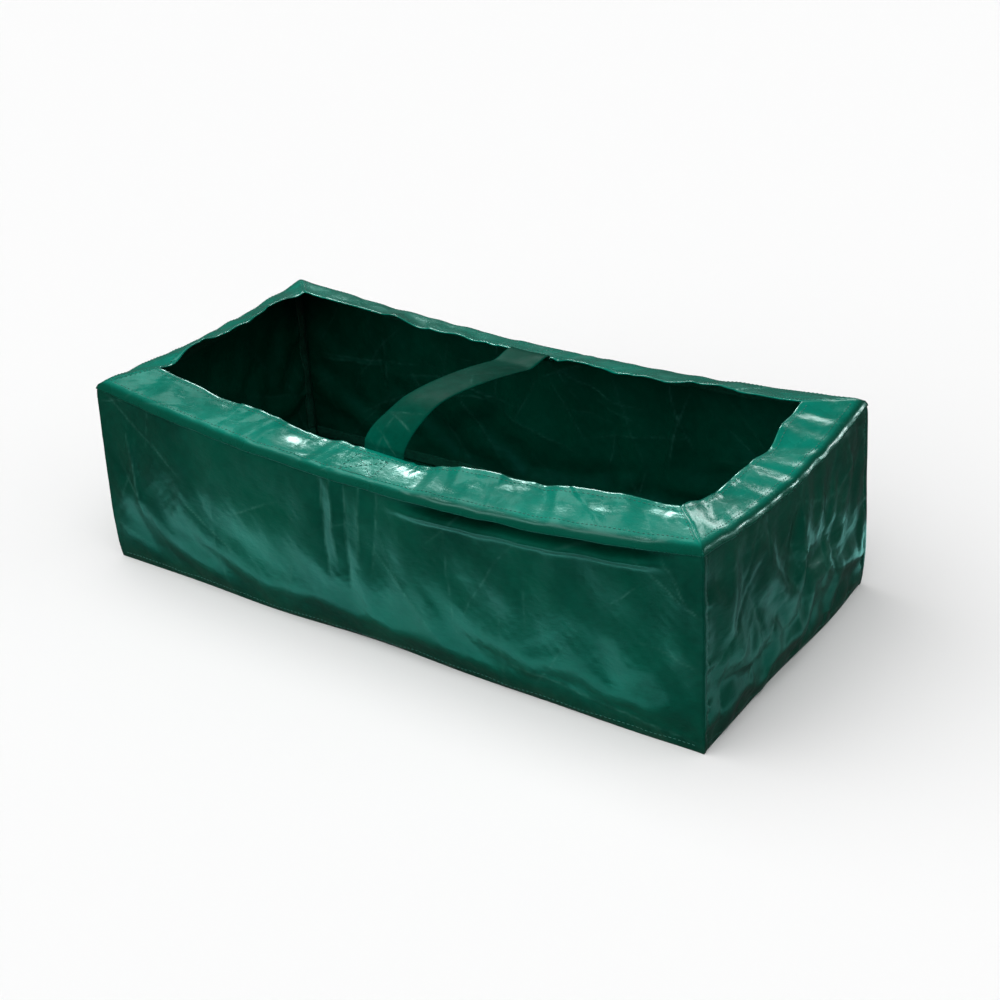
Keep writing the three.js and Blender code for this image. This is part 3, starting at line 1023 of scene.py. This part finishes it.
def drain_bead(x, y):
    bpy.ops.mesh.primitive_torus_add(
        location=(x, y, BEAD_HEIGHT),
        major_radius=DRAIN_RADIUS + 0.35 * MM,
        minor_radius=BEAD_RADIUS,
        major_segments=40,
        minor_segments=8,
    )
    smooth_shaded(bpy.context.object.data)
    return bpy.context.object


def base_piece():
    """The base cloth, nearly flat on the ground, with its drain holes melted through."""
    grid = settled[floor].transpose(1, 0, 2)[::-1]  # seen from below, so that it faces down
    rows, columns = (round(2 * half / BASE_STEP) + 1 for half in (FOOT_Y, FOOT_X))
    grid = refined(grid, rows, columns)
    grid[..., 2] = np.maximum(grid[..., 2], 0)
    panel = Panel("base_panel", grid)
    height, mark = crumple(panel, 50, 160 * MM, 10 * MM, 0.9 * MM, steep=1.5)
    panel.push(-np.abs(height), mark)
    panel.normals = normals_of(panel.grid)
    piece = cloth_piece(panel, CLOTH)
    cutters = [drain_cutter(*place) for place in DRAINS]
    cutter = joined(cutters, cutters[0])
    cut = piece.modifiers.new("drains", "BOOLEAN")
    cut.object, cut.operation, cut.solver = cutter, "DIFFERENCE", "EXACT"
    mesh = bpy.data.meshes.new_from_object(evaluated(piece))
    piece.modifiers.clear()
    piece.data = mesh
    bpy.data.objects.remove(cutter)
    return joined([drain_bead(*place) for place in DRAINS] + [piece], piece)


# --- Pieces ---

for side in SIDES:
    name = f"{side.name}_collar"
    add(cloth_piece(walls[side.name], CLOTH), WALL, side.wall)
    add(cloth_piece(bands[side.name], BAND), COLLAR_PAINTED_LIGHT, name)
add(cloth_piece(strap, BAND), STRAP, "cross_strap")
add(base_piece(), BASE, "base_panel")

TAPE_WIDTH, TAPE_THICKNESS, TAPE_RIDGE = 12 * MM, 1.8 * MM, 0.5 * MM
TAPE_IN = 8 * MM  # from a seam to the middle of its tape
BASE_ROW, RIM_ROW, HEM_ROW = 7.4 * MM, 16.5 * MM, 6.5 * MM  # from the seam, the lip and the hem
CORNER_ROW, MITRE_ROW = 6.6 * MM, 4.6 * MM  # from the corner seam and from the mitre
ROW_END = 9 * MM  # from the ends of a long row of stitches to the corner
BOX_HALF = 20 * MM  # half the boxed cross's length
BOX_LOW, BOX_HIGH = 17 * MM, 12 * MM  # from the lip's edge and from the hem


def line_on(panel, start, end, count):
    """Points and normals along a line on a sheet, from one (s, t) to another."""
    return panel.at(*(np.linspace(a, b, count) for a, b in zip(start, end)))


def add_tape(name, panel, start, end, turn):
    """Binding tape on the inner face of a wall, along a line from one (s, t) to another."""
    rows = []
    s, t = (np.linspace(a, b, 200) for a, b in zip(start, end))
    for offset in np.linspace(-0.5, 0.5, 9):
        across = offset * TAPE_WIDTH
        where, normals = panel.at(s + across * turn, t + across * (not turn))
        ridge = TAPE_RIDGE * math.exp(-((offset / 0.2) ** 2))
        rows.append(where - normals * (CLOTH + 0.1 * MM + ridge))
    if turn:
        rows.reverse()
    piece = cloth_piece(Panel(name, np.array(rows)), TAPE_THICKNESS, f"{name}_tape")
    add(piece, TAPE, name)


def add_thread(name, runs):
    add(thread_piece(f"{name}_thread", runs), THREAD_FINISH, name)


for side in SIDES:
    panel, band = walls[side.name], bands[side.name]
    long, tall = panel.s[-1], panel.t[-1]
    clear = 4 * MM if side.name in ("front", "back") else 7 * MM
    for name, t in (("base", TAPE_IN), ("rim", tall - TAPE_IN)):
        add_tape(f"{side.name}_{name}_binding", panel, (clear, t), (long - clear, t), False)
    for name, sheet, t in (
        ("base", panel, BASE_ROW),
        ("rim", band, RIM_ROW),
        ("hem", band, band.t[-1] - HEM_ROW),
    ):
        row = line_on(sheet, (ROW_END, t), (sheet.s[-1] - ROW_END, t), 600)
        add_thread(f"{side.name}_{name}_stitching", [row])

for end, others in (("right", ("front", "back")), ("left", ("back", "front"))):
    panel = walls[end]
    long, tall = panel.s[-1], panel.t[-1]
    for other, from_end in zip(others, (lambda x: x, lambda x: panel.s[-1] - x)):
        name = f"{other}_{end}_corner"
        s = from_end(TAPE_IN)
        add_tape(f"{name}_binding", panel, (s, 16 * MM), (s, tall - 15 * MM), True)
        s = from_end(CORNER_ROW)
        row = line_on(panel, (s, 11 * MM), (s, tall - 7 * MM), 200)
        add_thread(f"{name}_stitching", [row])

for name, ends in (("front", ("left", "right")), ("back", ("right", "left"))):
    band = bands[name]
    for end, s in zip(ends, (MITRE_ROW, band.s[-1] - MITRE_ROW)):
        row = line_on(band, (s, 15 * MM), (s, band.t[-1] - 9 * MM), 100)
        add_thread(f"{name}_{end}_mitre_stitching", [row])
    # The boxed cross through the collar and the strap end under it.
    centre = band.s[np.argmin(np.abs(band.grid[-1, :, 0] - STRAP_ENDS[name]))]
    near, far = centre - BOX_HALF, centre + BOX_HALF
    low, high = BOX_LOW, band.t[-1] - BOX_HIGH
    corners = [(near, low), (far, low), (far, high), (near, high), (near, low), (far, high)]
    legs = [*zip(corners, corners[1:]), ((near, high), (far, low))]
    runs = [line_on(band, start, end, 60) for start, end in legs]
    add_thread(f"{name}_strap_stitching", runs)

# --- Stage, light and camera ---

FLOOR_HALF = 40
PAPER = (0.9, 0.9, 0.9, 1)


def stage_floor():
    corners = np.array([(-1, -1, 0), (1, -1, 0), (1, 1, 0), (-1, 1, 0)]) * FLOOR_HALF
    paper = new_object("studio_floor", corners, [(0, 1, 2, 3)])
    paper.location.z = -0.2 * MM
    n = Nodes("studio_paper")
    finish = n.finish(Base_Color=PAPER, Roughness=0.95, Specular_IOR_Level=0.0)
    paper.data.materials.append(finish)
    paper.visible_glossy = False


def lamp(light, place, target):
    piece = bpy.data.objects.new(light.name, light)
    piece.location = place
    piece.rotation_euler = (Vector(target) - Vector(place)).to_track_quat("-Z", "Y").to_euler()
    piece.visible_camera = False
    bpy.context.scene.collection.objects.link(piece)
    return piece


def sky(name, place, strength, spread):
    """A very broad soft light that shades the cloth and isn't mirrored in it."""
    light = bpy.data.lights.new(name, "SUN")
    light.energy = strength
    light.angle = math.radians(spread)
    lamp(light, place, (0, 0, 0)).visible_glossy = False


def card(name, place, target, size, radiance):
    """A white card that is only seen mirrored in the glossy cloth."""
    light = bpy.data.lights.new(name, "AREA")
    light.shape = "RECTANGLE"
    light.size, light.size_y = size
    light.energy = radiance * math.pi * size[0] * size[1]
    piece = lamp(light, place, target)
    piece.visible_diffuse = False
    return piece


BAG = (0, 0, 0.2)
RIGHT_END = (0.4, 0, 0.1)
stage_floor()
sky("sky", (-0.3, -0.5, 1.0), 3.35, 110)
sky("sky_right", (0.9, 0.2, 0.8), 0.5, 60)
card("window_left", (-1.5, 1.9, 1.7), BAG, (0.65, 0.5), 24)
card("window_back", (-0.2, 2.4, 1.2), BAG, (0.4, 0.8), 6)
card("window_right", (1.3, 1.5, 0.5), RIGHT_END, (0.12, 0.36), 26)
card("window_front", (1.5, -2.1, 1.6), BAG, (0.7, 0.5), 13)
card("overhead_left", (-1.25, 0.25, 2.1), BAG, (0.6, 0.7), 2.4)

# The table round the bag, which gives the sheen low on the walls.
TABLE = {"front": 1.9, "right": 0.7, "back": 1.5, "left": 1.5}
TABLE_TINT = (0.34, 1.0, 0.94)
TABLE_NEAR, TABLE_WIDE, TABLE_SHIFT = 0.045, 0.09, 0.2
for side in SIDES:
    place = side.out * (side.reach + TABLE_NEAR + TABLE_WIDE / 2) + UP * 0.5 * MM
    place = place - side.along * TABLE_SHIFT * side.half
    long = 2 * side.half
    size = (long, TABLE_WIDE) if side.out[0] == 0 else (TABLE_WIDE, long)
    table = card(f"table_{side.name}", place, place + UP, size, TABLE[side.name])
    table.rotation_euler = (math.pi, 0, 0)
    table.data.color = TABLE_TINT

world = bpy.data.worlds.new("studio")
world.use_nodes = True
background = world.node_tree.nodes["Background"]
background.inputs["Color"].default_value = (1, 1, 1, 1)
background.inputs["Strength"].default_value = 0.06
bpy.context.scene.world = world
bpy.context.scene.view_settings.view_transform = "Standard"

AZIMUTH, ELEVATION, ROLL = math.radians(35.8), math.radians(28.4), math.radians(-3.4)
TARGET = Vector((0.0484, -0.0191, RIM_Z / 2))
DISTANCE = 1.886
LENS, SENSOR = 63.08, 36
level = math.cos(ELEVATION)
towards = Vector((math.sin(AZIMUTH) * level, -math.cos(AZIMUTH) * level, math.sin(ELEVATION)))
lens = bpy.data.cameras.new("camera")
lens.sensor_width = SENSOR
lens.lens = LENS
camera = bpy.data.objects.new("camera", lens)
look = (-towards).to_track_quat("-Z", "Y").to_matrix().to_4x4()
roll = Matrix.Rotation(ROLL, 4, "Z")
camera.matrix_world = Matrix.Translation(TARGET + towards * DISTANCE) @ look @ roll
bpy.context.scene.collection.objects.link(camera)
bpy.context.scene.camera = camera
